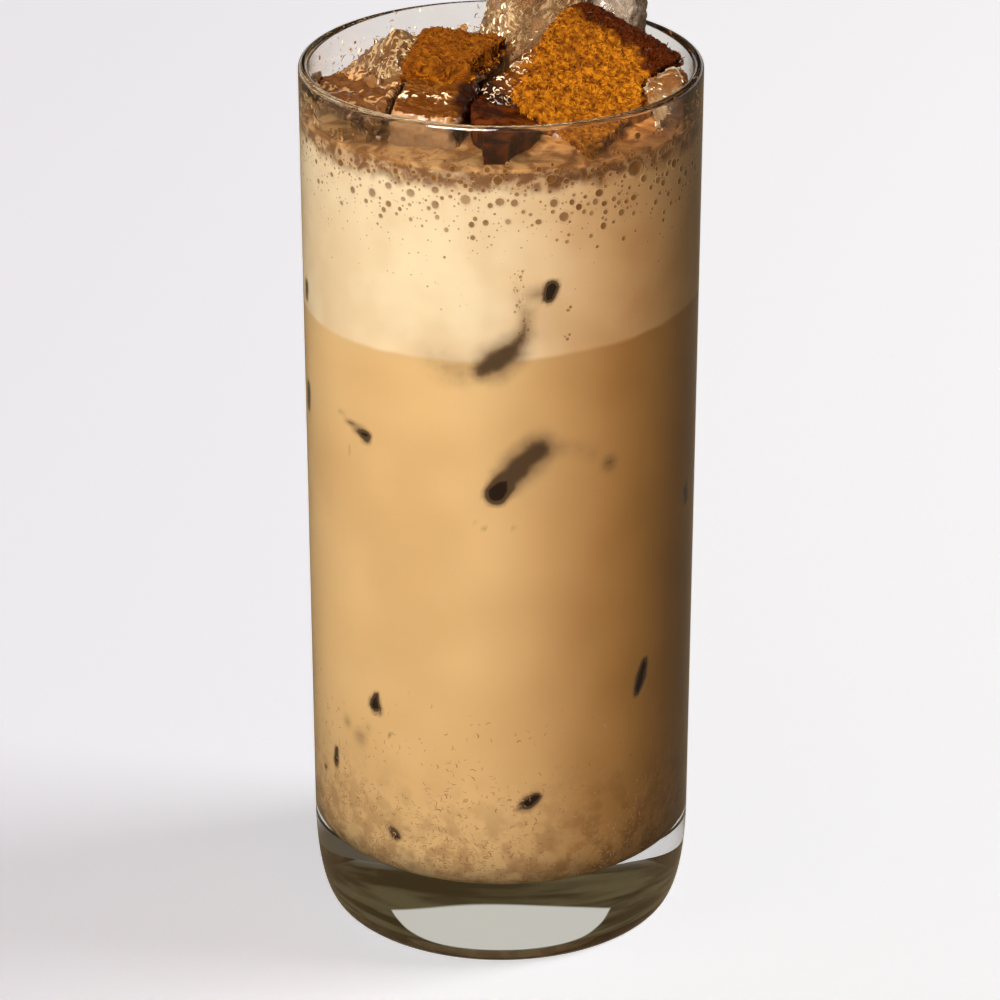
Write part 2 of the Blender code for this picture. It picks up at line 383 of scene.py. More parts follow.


# The sunk ice
# Worn pieces of ice that float below the surface. Each shows only where it comes close to
# the glass, as a dark spot of painted shade with a soft edge: (turn from the front, height,
# reach, strength).
SUNK = {
    "black spot": [(14.6, 125.6, 0.95, 1.25), (13.8, 124.0, 0.8, 1.15)],
    "spot's veil": [(13.0, 125.0, 1.3, 0.44), (8.6, 124.4, 1.5, 0.32)],
    "froth trail": [
        (5.0, 127.8, 0.9, 0.10), (4.2, 124.6, 1.2, 0.17), (7.4, 121.2, 1.3, 0.34),
        (6.2, 117.6, 1.4, 0.46),
    ],
    "lens": [
        (-6.2, 111.4, 1.7, 0.56), (-2.0, 112.8, 2.6, 0.60), (2.8, 115.0, 2.4, 0.59),
        (6.2, 117.6, 1.7, 0.46),
    ],
    "pale lens": [(-22.5, 113.6, 2.4, 0.17), (-16.5, 112.0, 2.8, 0.28), (-11.2, 111.0, 2.2, 0.32)],
    "left mark": [(-78.2, 116.4, 0.9, 1.0), (-78.6, 114.6, 0.8, 0.9)],
    "left blot": [(-79.0, 97.6, 1.1, 1.0), (-79.6, 94.6, 1.0, 1.0)],
    "comet": [
        (-43.2, 96.2, 0.85, 1.05), (-46.4, 96.8, 0.75, 0.72), (-51.0, 97.6, 0.55, 0.42),
        (-56.0, 98.9, 0.4, 0.25),
    ],
    "comet dot": [(-50.8, 92.4, 0.42, 0.66)],
    "long piece": [
        (-1.4, 89.6, 1.45, 1.25), (0.4, 91.0, 1.6, 1.05), (2.0, 92.2, 2.2, 0.66),
        (6.2, 94.8, 2.6, 0.62), (11.2, 97.4, 2.4, 0.62),
    ],
    "long veil": [(13.0, 97.4, 1.7, 0.42), (20.6, 97.2, 1.6, 0.20), (27.5, 95.4, 1.6, 0.22)],
    "blurred spot": [(33.4, 92.9, 1.35, 0.50)],
    "ring line": [
        (-7.5, 84.4, 0.22, 0.34), (-4.0, 82.9, 0.22, 0.40), (1.0, 82.6, 0.22, 0.36),
        (5.5, 84.0, 0.2, 0.26),
    ],
    "right blot": [(72.2, 80.6, 0.9, 0.9), (73.0, 78.6, 0.8, 0.9)],
    "wedge": [(-40.8, 48.9, 0.5, 0.8), (-41.6, 46.7, 1.0, 1.1), (-39.6, 46.0, 0.6, 0.8)],
    "faint left": [(-54.4, 40.9, 1.2, 0.32)],
    "faint right": [(-48.2, 39.2, 1.5, 0.36)],
    "faint upper": [(-44.6, 41.6, 1.0, 0.22)],
    "low left": [(-61.0, 34.0, 0.55, 0.9), (-61.4, 31.3, 0.7, 1.0)],
    "low dot": [(-69.5, 28.0, 0.6, 0.8)],
    "upright": [(48.8, 53.4, 0.75, 1.0), (47.3, 51.0, 1.0, 1.15), (45.6, 48.6, 0.7, 1.0)],
    "slant": [(5.2, 31.0, 0.55, 0.6), (8.2, 31.9, 0.95, 1.15), (10.8, 32.9, 0.75, 1.1)],
    "red dot": [(-34.0, 22.9, 0.75, 1.15), (-36.6, 24.2, 0.8, 0.5)],
    "dot right": [(22.1, 50.9, 0.32, 0.72)],
    "dot middle": [(-9.2, 71.0, 0.2, 0.7)],
    "dot left": [(-35.8, 41.7, 0.32, 0.7)],
}
SUNK_SEED = 8
SUNK_BEHIND = 22
WALL_RADIUS = 31.6
CORE_RADIUS = 20


def sunk_marks():
    """The marks in front, and others of the same kind round the back."""
    marks = list(SUNK.values())
    draw = random.Random(SUNK_SEED)
    for _ in range(SUNK_BEHIND):
        turn, height = draw.uniform(88, 272), draw.uniform(22, 124)
        strength = draw.choice((0.4, 0.7, 1.0, 1.1))
        mark = [(turn, height, draw.uniform(0.4, 1.1), strength)]
        for _ in range(draw.randrange(3)):
            turn, height = turn + draw.uniform(-5, 5), height + draw.uniform(-2.5, 2.5)
            mark.append((turn, height, draw.uniform(0.3, 0.9), strength * draw.uniform(0.5, 1)))
        marks.append(mark)
    return marks


def corners_of(piece):
    """The points of a piece, one to a row."""
    places = np.zeros(len(piece.data.vertices) * 3)
    piece.data.vertices.foreach_get("co", places)
    return places.reshape(-1, 3)


def store(piece, name, values):
    """Stores a number on each point of a piece, for its look to read."""
    kept = piece.data.attributes.new(name, "FLOAT", "POINT")
    kept.data.foreach_set("value", np.asarray(values, np.float32))


def paint_sunk_ice(piece):
    """Stores how near the sunk ice is to the glass at each point of a drink layer."""
    places = corners_of(piece) / MM
    radius = np.hypot(places[:, 0], places[:, 1])
    turn = np.degrees(np.arctan2(places[:, 0], -places[:, 1]))
    near = np.zeros(len(places))
    for mark in sunk_marks():
        links = list(zip(mark, mark[1:])) or [(mark[0], mark[0])]
        for start, end in links:
            start, end = np.array(start), np.array(end)
            middle = (start[1] + end[1]) / 2
            level = abs(start[1] - end[1]) / 2 + 2 * max(start[2], end[2])
            at = np.flatnonzero(np.abs(places[:, 2] - middle) < level)
            across = np.radians((turn[at] - start[0] + 180) % 360 - 180) * radius[at]
            step = np.array([math.radians(end[0] - start[0]) * WALL_RADIUS, end[1] - start[1]])
            off = np.stack([across, places[at, 2] - start[1]], 1)
            along = np.clip(off @ step / max(step @ step, 1e-6), 0, 1)
            away = np.linalg.norm(off - along[:, None] * step, axis=1)
            reach = start[2] + (end[2] - start[2]) * along
            strength = start[3] + (end[3] - start[3]) * along
            near[at] = np.maximum(near[at], strength * np.clip(1 - 0.5 * away / reach, 0, 1))
    near[radius < CORE_RADIUS] = 0
    store(piece, "ice", near)


# The chai
# Strong spiced tea with milk, poured to two thirds of the glass. It fills the glass to its
# wall, down to the rounded corner of the base.
CHAI_SIDES = 160
CHAI_RINGS = 40


def apply_all(piece):
    activate(piece)
    for modifier in list(piece.modifiers):
        bpy.ops.object.modifier_apply(modifier=modifier.name)
    return piece


def refined(piece):
    """Splits each face into four, without rounding the form."""
    finer = piece.modifiers.new("finer", "SUBSURF")
    finer.subdivision_type = "SIMPLE"
    finer.levels = 1
    finer.render_levels = 1
    return apply_all(piece)


def wall_rings(start, end, count):
    """Points up the inside of the wall, from one height to another, both included."""
    for ring in range(count + 1):
        height = start + (end - start) * ring / count
        yield (inner_radius(height) + REACH, height)


def poured(name, outline, level):
    """A layer of the drink, whose slope grows from this level to the top of the tea."""
    layer = turned(name, outline, CHAI_SIDES)
    for corner in layer.data.vertices:
        share = (corner.co.z - level) / (CHAI_TOP - level)
        corner.co.z += CHAI_SLOPE * corner.co.x * min(1, max(0, share))
    refined(layer)
    paint_sunk_ice(layer)
    return smoothed(layer)


def build_chai():
    bottom = BASE_TOP - REACH
    corner = BASE_CORNER + REACH
    corner_top = bottom + corner
    centre = (inner_radius(corner_top) + REACH - corner, corner_top)
    outline = [(2 * MM, bottom), *arc(centre, (corner, corner), -90, 0, 12)]
    outline += list(wall_rings(corner_top, CHAI_TOP, CHAI_RINGS))[1:]
    return poured("chai_fill", outline, corner_top)


dress(build_chai(), drink_look("chai")[0], "chai", "chai")

# The milk foam
# Frothed milk that floats on the tea, warm and cream in colour, with fine bubbles all
# through it. It is poured last and meets the tea in a line that dips to the left.
FOAM_RINGS = 16


def build_foam():
    foam_end = FOAM_TOP + REACH
    outline = [(2 * MM, CHAI_TOP), *wall_rings(CHAI_TOP, foam_end, FOAM_RINGS), (2 * MM, foam_end)]
    return poured("foam_fill", outline, FOAM_TOP)


dress(build_foam(), drink_look("milk foam")[0], "milk_foam", "milk_foam")

# The froth
# The coarse brown froth at the top of the drink, stained by the spice. It rings the ice,
# stands a little up the wall and is full of bubbles.
FROTH_TOP = 146.2 * MM
FROTH_RINGS = 26
FROTH_WAVE = 0.7 * MM


def build_froth():
    edge = inner_radius(FROTH_TOP) + REACH
    outline = [(2 * MM, FOAM_TOP), (edge - 0.03 * MM, FOAM_TOP), (edge, FROTH_TOP)]
    outline += [(edge * (1 - ring / FROTH_RINGS), FROTH_TOP) for ring in range(1, FROTH_RINGS)]
    froth = turned("froth_fill", outline, CHAI_SIDES)
    for corner in froth.data.vertices:
        if corner.co.z > FROTH_TOP - REACH:
            wave = noise.noise(corner.co / (6 * MM)) + 0.6 * noise.noise(corner.co / (1.6 * MM))
            corner.co.z += FROTH_WAVE * wave * 0.6
    return smoothed(froth, 60)


def froth_look():
    look, tree, surface, place = drink_look("froth", ice=False)
    surface.inputs["Roughness"].default_value = 0.3
    surface.inputs["Specular IOR Level"].default_value = 0.4
    uneven(tree, surface, place, 900, 0.6, 0.0004)
    return look


dress(build_froth(), froth_look(), "froth", "froth")

# The bubbles at the glass
# Air bubbles that cling to the wall in the upper foam. Each is a shallow cup pressed into
# the foam: painted brown as shade where one looks into it, cream at its lip.
BUBBLE_SIDES = 8
BUBBLE_OUTLINE = ((0.40, 0.04), (0.82, 0.16), (1.0, 0.30), (1.24, 0.20), (1.55, -0.3))
BUBBLE_DEPTH = (1.0, 0.80, 0.36, 0.15, 0.0)
NAMED_BUBBLES = (
    (41.0, 143.5, 1.55), (18.0, 137.6, 0.92), (28.8, 140.8, 0.82), (15.0, 140.1, 0.72),
    (36.4, 136.6, 0.66), (40.8, 138.6, 0.70), (-10.0, 140.9, 0.95), (-39.3, 139.6, 0.80),
    (-33.5, 141.5, 0.72), (30.3, 135.0, 0.62), (24.1, 138.0, 0.42), (10.6, 137.1, 0.60),
    (2.0, 137.3, 0.50), (37.3, 132.0, 0.42), (28.4, 131.6, 0.34), (24.4, 140.5, 0.40),
    (-33.6, 138.4, 0.62), (-36.4, 136.0, 0.48), (-26.3, 141.0, 0.85), (-18.8, 139.6, 0.72),
    (-15.6, 135.5, 0.44), (-8.3, 136.7, 0.54), (-4.3, 137.1, 0.56), (-8.0, 134.5, 0.48),
    (-0.3, 140.7, 0.85), (50.7, 140.1, 0.60), (58.6, 141.7, 0.75), (51.7, 137.7, 0.40),
    (63.0, 140.0, 0.6), (-47.0, 139.0, 0.6), (19.5, 121.4, 0.36), (20.2, 121.9, 0.28),
    (19.3, 116.4, 0.34), (20.0, 117.1, 0.26), (18.6, 116.9, 0.2),
)
BUBBLE_SEED = 21
BUBBLE_COUNT = 2350
CLINGING_BUBBLES = 420
BUBBLE_TOP = 145.0
BUBBLE_FOOT = 117.0
CLINGING_TOP = 151.0
BUBBLE_GAP = 0.05 * MM
BUBBLE_SHADE_DARK = colour(0.095, 0.030, 0.006)
BUBBLE_SHADE_BROWN = colour(0.33, 0.135, 0.030)
BUBBLE_LIP = colour(0.72, 0.50, 0.28)
TRAIL = ((5.2, 128.2), (4.4, 125.6), (4.6, 123.2), (6.8, 120.6), (7.4, 118.8), (6.0, 116.6))
TRAIL_BUBBLES = 80


def joined(name, template, places, shades):
    """One piece of copies of a template, each moved by its matrix, with a shade of its own."""
    base = corners_of(template)
    faces = [list(face.vertices) for face in template.data.polygons]
    corners, rings = [], []
    for at, place in enumerate(places):
        turn = np.array(place)
        corners.append(base @ turn[:3, :3].T + turn[:3, 3])
        rings += [[corner + at * len(base) for corner in face] for face in faces]
    mesh = bpy.data.meshes.new(name)
    mesh.from_pydata(np.concatenate(corners).tolist(), [], rings)
    made = bpy.data.objects.new(name, mesh)
    bpy.context.scene.collection.objects.link(made)
    store(made, "shade", np.repeat(shades, len(base)))
    bpy.data.meshes.remove(template.data)
    return smoothed(made, 80)


def on_wall(turn, height, lift, width, tall, depth, inwards=False, spin=0.0):
    """Stands a template, drawn facing up, against the glass wall, facing out or in."""
    angle = math.radians(turn)
    facing = -1 if inwards else 1
    out = Vector((math.sin(angle), -math.cos(angle), 0))
    side = Vector((math.cos(angle), math.sin(angle), 0)) * facing
    turned_side = side * math.cos(spin) + Vector((0, 0, math.sin(spin)))
    turned_up = Vector((0, 0, math.cos(spin))) - side * math.sin(spin)
    axes = Matrix((turned_side * width, turned_up * tall, out * facing * depth))
    spot = out * (inner_radius(height) + lift) + Vector((0, 0, height))
    return Matrix.Translation(spot) @ axes.transposed().to_4x4()


def bubble_places():
    """Turn, height and size of each bubble: the named ones, then those that fit between them."""
    draw = random.Random(BUBBLE_SEED)
    taken = [(turn, height * MM, size * MM) for turn, height, size in NAMED_BUBBLES]
    for _ in range(BUBBLE_COUNT):
        turn = draw.uniform(-180, 180)
        drop = draw.expovariate(1 / 5.6)
        height = (BUBBLE_TOP - drop) * MM
        right = 1 + 0.45 * math.sin(math.radians(turn))
        size = min(0.12 + draw.expovariate(1 / (0.24 * right)), 0.85) * MM * max(0.3, 1 - drop / 22)
        gaps = []
        for other_turn, other_height, other_size in taken:
            if abs(other_height - height) < 2.2 * MM:
                across = (turn - other_turn + 180) % 360 - 180
                across = math.radians(across) * WALL_RADIUS * MM
                gaps.append(math.hypot(across, height - other_height) - other_size - size)
        if height > BUBBLE_FOOT * MM and min(gaps, default=1) > BUBBLE_GAP:
            taken.append((turn, height, size))
    for _ in range(CLINGING_BUBBLES):
        turn = draw.uniform(-180, 180)
        side = abs(math.sin(math.radians(turn)))
        height = (BUBBLE_TOP + draw.expovariate(1 / (0.5 + 1.6 * side))) * MM
        size = min(0.08 + draw.expovariate(1 / 0.13), 0.5) * MM
        if height < CLINGING_TOP * MM:
            taken.append((turn, height, size))
    for _ in range(TRAIL_BUBBLES):
        turn, height = draw.choice(TRAIL)
        size = min(0.06 + draw.expovariate(1 / 0.07), 0.3) * MM
        taken.append((turn + draw.gauss(0, 1.1), (height + draw.gauss(0, 0.9)) * MM, size))
    return taken


def build_bubbles():
    cup = turned("bubble", BUBBLE_OUTLINE, BUBBLE_SIDES)
    radius = np.hypot(*corners_of(cup)[:, :2].T)
    sunk = np.interp(radius, [ring[0] for ring in BUBBLE_OUTLINE], BUBBLE_DEPTH)
    draw = random.Random(BUBBLE_SEED)
    places, shades = [], []
    for turn, height, size in bubble_places():
        tall = size * draw.uniform(0.85, 1.15)
        places.append(on_wall(turn, height, REACH, size, tall, min(size, 0.9 * MM)))
        shades.append(draw.uniform(0.7, 1.0) * min(1, 0.65 + 0.35 * size / (0.6 * MM)))
    made = joined("foam_bubbles", cup, places, shades)
    store(made, "pit", np.tile(sunk, len(places)))
    paint_sunk_ice(made)
    return made


def bubble_look():
    look, tree, surface, place = drink_look("bubbles")
    drink = surface.inputs["Base Color"].links[0].from_socket
    pit = stored(tree, "pit")
    lip = product(tree, graded(tree, pit, 0.10, 0.22), graded(tree, pit, 0.62, 0.38), 0.22)
    drink = mixed(tree, lip, drink, BUBBLE_LIP)
    # Painted shade: each cup darkens to brown towards its deepest point.
    share = product(tree, graded(tree, pit, 0.30, 0.95), stored(tree, "shade"))
    brown = mixed(tree, cloud(tree, place, 700), BUBBLE_SHADE_DARK, BUBBLE_SHADE_BROWN)
    tree.links.new(mixed(tree, share, drink, brown), surface.inputs["Base Color"])
    return look


dress(build_bubbles(), bubble_look(), "milk_foam")

# The ice
# Seven worn cubes heaped above the drink, wet with froth and spice. Those at the front and
# left carry a brown film, and those at the back are clearer.
ICE_PIT = colour(0.095, 0.032, 0.010)
CURL_WIDTH = 0.035
CURL_GAPS = 0.45
HOLLOW_STAIN_AND_SHADE = colour(0.016, 0.003, 0.001)
DUST_DARK = colour(0.10, 0.022, 0.002)
DUST_LIGHT = colour(0.27, 0.080, 0.003)
DUST_REACH = 4.4 * MM
CRUST_BY = {"ice_large": "cinnamon_large", "ice_middle": "cinnamon_middle"}
HOLLOW_PATH = (
    (-1.0, -2.5, 155.8, 2.2), (-2.6, -8.0, 154.6, 2.4), (-3.6, -13.0, 153.2, 3.0),
    (-4.6, -18.0, 151.8, 3.2), (-4.6, -22.5, 149.6, 3.4), (-0.6, -15.5, 149.6, 3.6),
    (2.0, -17.0, 149.0, 3.2), (4.6, -18.8, 147.8, 2.8),
)


def copied(name, cad_node):
    """A copy of a CAD piece, with its loose triangles merged."""
    made = bpy.data.objects.new(name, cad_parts[cad_node].data.copy())
    bpy.context.scene.collection.objects.link(made)
    activate(made)
    bpy.ops.object.mode_set(mode="EDIT")
    bpy.ops.mesh.select_all(action="SELECT")
    bpy.ops.mesh.remove_doubles(threshold=0.01 * MM)
    bpy.ops.object.mode_set(mode="OBJECT")
    return made


def rippled(piece, name, pattern, size, depth, level=1.0):
    """Presses a pattern into a piece: at level 1 it only cuts in, and never swells."""
    texture = bpy.data.textures.new(name, pattern)
    texture.noise_scale = size
    relief = piece.modifiers.new(name, "DISPLACE")
    relief.texture = texture
    relief.strength = depth
    relief.mid_level = level
    relief.texture_coords = "LOCAL"
    return piece


def evened(piece, size):
    """Remeshes a piece into small even faces."""
    even = piece.modifiers.new("even", "REMESH")
    even.mode = "VOXEL"
    even.voxel_size = size
    return apply_all(piece)


def curls_effect():
    """Short thin curved lines, like the pale swirls in wet ice."""
    inputs = [("Place", "Vector", None), ("Scale", "Float", 500.0)]
    tree, given, wanted = effect("curls", inputs, [("Mask", "Float")])
    field = cloud(tree, given["Place"], given["Scale"], 2.0, 0.6)
    line = maths(tree, "ABSOLUTE", maths(tree, "SUBTRACT", field, 0.5))
    thin = maths(tree, "LESS_THAN", line, CURL_WIDTH)
    broken = cloud(tree, given["Place"], product(tree, given["Scale"], 0.73), 1.0)
    kept = maths(tree, "GREATER_THAN", broken, CURL_GAPS)
    tree.links.new(product(tree, thin, kept), wanted["Mask"])
    return tree


CURLS = curls_effect()


def ice_effect():
    """The skin of wet ice: a clear body, a film in clouds, pale swirls, brown pits, and near the gap
    in front a dark stain that is partly painted shade.
    """
    inputs = [("Place", "Vector", None)]
    inputs += [(name, "Color", colour(0.5, 0.5, 0.5)) for name in ("Clear", "Film", "Swirl")]
    inputs += [(name, "Float", 0.5) for name in ("Filmed", "Pitted", "Swirled")]
    inputs += [("Grain", "Float", 300.0), ("Stain_and_shade", "Float", 0.0), ("Dust", "Float", 0.0)]
    tree, given, wanted = effect("wet ice", inputs, [("Colour", "Color"), ("Film", "Float")])
    place, grain = given["Place"], given["Grain"]
    clouds = cloud(tree, place, product(tree, grain, 0.4), 4, 0.8)
    start = maths(tree, "SUBTRACT", 0.85, product(tree, given["Filmed"], 0.7))
    film = graded(tree, clouds, start, maths(tree, "ADD", start, 0.18))
    skin = mixed(tree, film, given["Clear"], given["Film"])
    lines = placed(tree, CURLS, {"Place": place, "Scale": grain})["Mask"]
    skin = mixed(tree, product(tree, lines, given["Swirled"]), skin, given["Swirl"])
    feeds = {"Vector": place, "Scale": product(tree, grain, 2.2)}
    cells = node(tree, "TexVoronoi", feeds, feature="SMOOTH_F1").outputs["Distance"]
    patches = graded(tree, cloud(tree, place, product(tree, grain, 0.5)), 0.42, 0.6)
    pits = product(tree, graded(tree, cells, 0.42, 0.18), patches, given["Pitted"])
    skin = mixed(tree, pits, skin, ICE_PIT)
    frayed = wavering(tree, place, 380, 0.5, 2)
    dusted = graded(tree, maths(tree, "ADD", given["Dust"], frayed), 0.20, 0.66)
    spice = graded(tree, cloud(tree, place, 900, 2), 0.4, 0.62)
    skin = mixed(tree, dusted, skin, mixed(tree, spice, DUST_DARK, DUST_LIGHT))
    # Dark near the gap between the cubes: partly wet spice stain, partly painted shade.
    stain_and_shade = graded(tree, maths(tree, "ADD", given["Stain_and_shade"], frayed), 0.30, 0.62)
    tree.links.new(mixed(tree, stain_and_shade, skin, HOLLOW_STAIN_AND_SHADE), wanted["Colour"])
    tree.links.new(film, wanted["Film"])
    return tree


WET_ICE = ice_effect()
ICE = {
    "ice_large": dict(
        clear=(0.155, 0.054, 0.012), film=(0.085, 0.020, 0.002), swirl=(0.50, 0.27, 0.10),
        filmed=(0.5, 0.9), pitted=0.5, swirled=0.6, grain=330, see_through=0.25, ripple=0.75,
    ),
    "ice_middle": dict(
        clear=(0.34, 0.180, 0.080), film=(0.105, 0.026, 0.001), swirl=(0.34, 0.13, 0.02),
        filmed=(0.1, 1.25), pitted=0.3, swirled=0.35, grain=300, see_through=0.2, ripple=1.0,
    ),
    "ice_back": dict(
        clear=(0.44, 0.250, 0.115), film=(0.22, 0.070, 0.012), swirl=(0.95, 0.68, 0.34),
        filmed=(0.5, 0.6), pitted=0.4, swirled=0.9, grain=330, see_through=0.75, ripple=1.0,
    ),
    "ice_behind": dict(
        clear=(0.36, 0.270, 0.195), film=(0.22, 0.140, 0.082), swirl=(0.66, 0.54, 0.42),
        filmed=(0.5, 0.6), pitted=0.2, swirled=0.5, grain=320, see_through=0.6, ripple=1.1,
    ),
    "ice_peak": dict(
        clear=(0.25, 0.135, 0.055), film=(0.16, 0.066, 0.019), swirl=(0.64, 0.42, 0.20),
        filmed=(0.55, 0.7), pitted=0.45, swirled=0.7, grain=420, see_through=0.4, ripple=1.0,
    ),
    "ice_low": dict(
        clear=(0.155, 0.064, 0.018), film=(0.105, 0.034, 0.007), swirl=(0.46, 0.25, 0.10),
        filmed=(0.4, 0.8), pitted=0.95, swirled=0.75, grain=300, see_through=0.1, ripple=1.6,
    ),
    "ice_side": dict(
        clear=(0.72, 0.500, 0.270), film=(0.40, 0.160, 0.040), swirl=(0.92, 0.72, 0.44),
        filmed=(0.55, 0.65), pitted=0.3, swirled=0.6, grain=300, see_through=0.7, ripple=0.7,
    ),
}
ICE_VOXEL = 0.42 * MM


def build_ice(name, ripple):
    cube = evened(copied(f"{name}_wet", name), ICE_VOXEL)
    rippled(cube, f"{name} melt", "CLOUDS", 3.4 * MM, ripple * MM)
    rippled(cube, f"{name} dimples", "VORONOI", 1.3 * MM, 0.45 * ripple * MM)
    rippled(cube, f"{name} beads", "CLOUDS", 0.8 * MM, 0.30 * ripple * MM)
    return smoothed(apply_all(cube), 70)


def paint_hollow(piece):
    """Stores how near each point is to the dark gap between the two cubes in front, for its stain and
    painted shade.
    """
    places = corners_of(piece) / MM
    near = np.zeros(len(places))
    for across, back, height, reach in HOLLOW_PATH:
        away = np.linalg.norm(places - (across, back, height), axis=1)
        near = np.maximum(near, np.clip(1 - 0.5 * away / reach, 0, 1))
    store(piece, "stain_and_shade", near)


def corner_finder(piece):
    """Finds the point of a piece that lies nearest to a place."""
    finder = kdtree.KDTree(len(piece.data.vertices))
    for at, corner in enumerate(piece.data.vertices):
        finder.insert(corner.co, at)
    finder.balance()
    return finder


def paint_dust(piece, crust):
    """Stores how near each point is to a crust of cinnamon."""
    grains = corner_finder(crust)
    away = np.array([grains.find(corner.co)[2] for corner in piece.data.vertices])
    store(piece, "dust", np.clip(1 - away / DUST_REACH, 0, 1))


def ice_look(name, clear, film, swirl, filmed, pitted, swirled, grain, see_through):
    look, tree, surface, place = finish(
        name, 0.1, IOR=1.31, Transmission_Weight=see_through, Specular_IOR_Level=0.35,
        Coat_Weight=0.12, Coat_Roughness=0.05,
    )
    facing = split(tree, node(tree, "NewGeometry").outputs["Normal"])["Z"]
    feeds = {
        "Place": place, "Clear": colour(*clear), "Film": colour(*film), "Swirl": colour(*swirl),
        "Filmed": graded(tree, facing, 0.2, 0.85, *filmed), "Pitted": pitted, "Swirled": swirled,
        "Grain": grain, "Stain_and_shade": stored(tree, "stain_and_shade"), "Dust": stored(tree, "dust"),
    }
    skin = placed(tree, WET_ICE, feeds)
    tree.links.new(skin["Colour"], surface.inputs["Base Color"])
    wet = graded(tree, skin["Film"], 0.0, 1.0, 0.06, 0.22)
    tree.links.new(wet, surface.inputs["Roughness"])
    uneven(tree, surface, place, 480, 0.8, 0.0007)
    return look


for name, values in ICE.items():
    values = dict(values)
    cube = build_ice(name, values.pop("ripple"))
    paint_hollow(cube)
    if name in CRUST_BY:
        paint_dust(cube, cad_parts[CRUST_BY[name]])
    dress(cube, ice_look(f"{name} skin", **values), "ice", name)

# The cinnamon
# Ground cinnamon and bark fibres, shaken thickly over the two cubes in front. It lies dry
# and orange on top, and is wet and nearly black along the far edge of the large cube.
CRUST_VOXEL = 0.26 * MM
SETTLE_REACH = 2.6 * MM
SETTLE_DEPTH = 0.12 * MM
CINNAMON_LIGHT = colour(0.365, 0.126, 0.0045)
CINNAMON_MID = colour(0.215, 0.062, 0.002)
CINNAMON_DARK = colour(0.085, 0.019, 0.0012)
CINNAMON_WET = colour(0.045, 0.008, 0.001)
WET_START = Vector((15.0, 3.0)) * MM
WET_ACROSS = Vector((0.62, 0.78))
WET_FADE = 2.2 * MM


def cinnamon_effect():
    """Ground cinnamon in clumps of several tones, wet beyond a ragged line."""
    inputs = [("Place", "Vector", None), ("Tone", "Float", 0.5), ("Darker", "Float", 0.0)]
    tree, given, wanted = effect("cinnamon", inputs, [("Colour", "Color"), ("Wet", "Float")])
    place = given["Place"]
    parts = split(tree, place)
    across = product(tree, parts["X"], WET_ACROSS.x)
    across = maths(tree, "MULTIPLY_ADD", parts["Y"], WET_ACROSS.y, across)
    across = maths(tree, "ADD", across, wavering(tree, place, 260, 0.008, 4))
    start = WET_START.dot(WET_ACROSS)
    wet = graded(tree, across, start, start + WET_FADE)
    tone = maths(tree, "SUBTRACT", given["Tone"], 0.5)
    tone = maths(tree, "ADD", cloud(tree, place, 900, 2), tone)
    dust = mixed(tree, graded(tree, tone, 0.30, 0.52), CINNAMON_DARK, CINNAMON_MID)
    dust = mixed(tree, graded(tree, tone, 0.48, 0.72), dust, CINNAMON_LIGHT)
    blotch = graded(tree, cloud(tree, place, 210, 2), 0.52, 0.68)
    dust = mixed(tree, product(tree, blotch, 0.45), dust, CINNAMON_DARK)
    dust = mixed(tree, given["Darker"], dust, CINNAMON_DARK)
    tree.links.new(mixed(tree, wet, dust, CINNAMON_WET), wanted["Colour"])
    tree.links.new(wet, wanted["Wet"])
    return tree


CINNAMON = cinnamon_effect()


def cinnamon_look(name, darker, tone=None):
    look, tree, surface, place = finish(name, 0.9, Specular_IOR_Level=0.05)
    feeds = {"Place": place, "Darker": darker}
    if tone:
        feeds["Tone"] = stored(tree, tone)
    dust = placed(tree, CINNAMON, feeds)
    tree.links.new(dust["Colour"], surface.inputs["Base Color"])
    rough = graded(tree, dust["Wet"], 0.0, 1.0, 0.92, 0.34)
    tree.links.new(rough, surface.inputs["Roughness"])
    uneven(tree, surface, place, 1900, 0.8, 0.0003)
    return look


def settle(crust, cube):
    """Pulls the underside of a crust down on its cube, so that no gap shows below its edge."""
    corners = [corner.co for corner in cube.data.vertices]
    skin = BVHTree.FromPolygons(corners, [face.vertices for face in cube.data.polygons])
    for corner in crust.data.vertices:
        if corner.normal.z < 0.1:
            spot, facing, _, _ = skin.find_nearest(corner.co, SETTLE_REACH)
            if spot:
                corner.co = spot - facing * SETTLE_DEPTH
    return crust


def clumped(piece):
    """Breaks a smooth heap of cinnamon up into clumps and grains."""
    rippled(piece, f"{piece.name} clumps", "CLOUDS", 1.5 * MM, 1.0 * MM, 0.55)
    rippled(piece, f"{piece.name} grains", "CLOUDS", 0.45 * MM, 0.55 * MM, 0.5)
    return smoothed(apply_all(piece), 80)


def build_crust(cad_node, cube):
    return clumped(settle(evened(copied(f"{cad_node}_crust", cad_node), CRUST_VOXEL), cube))


large_crust = build_crust("cinnamon_large", bpy.data.objects["ice_large_wet"])
middle_crust = build_crust("cinnamon_middle", bpy.data.objects["ice_middle_wet"])
dress(large_crust, cinnamon_look("cinnamon large", 0.0), "cinnamon", "cinnamon_large")
dress(middle_crust, cinnamon_look("cinnamon middle", 0.68), "cinnamon", "cinnamon_middle")

# The bark fibres
# Fine curled shreds of cinnamon bark that lie all ways over the crusts and give them their
# woolly look.
FIBRE_LENGTH = 1.15 * MM
FIBRE_WIDTH = 0.085 * MM
FIBRE_SEED = 5
FIBRES = (("large", 4200), ("middle", 1700))


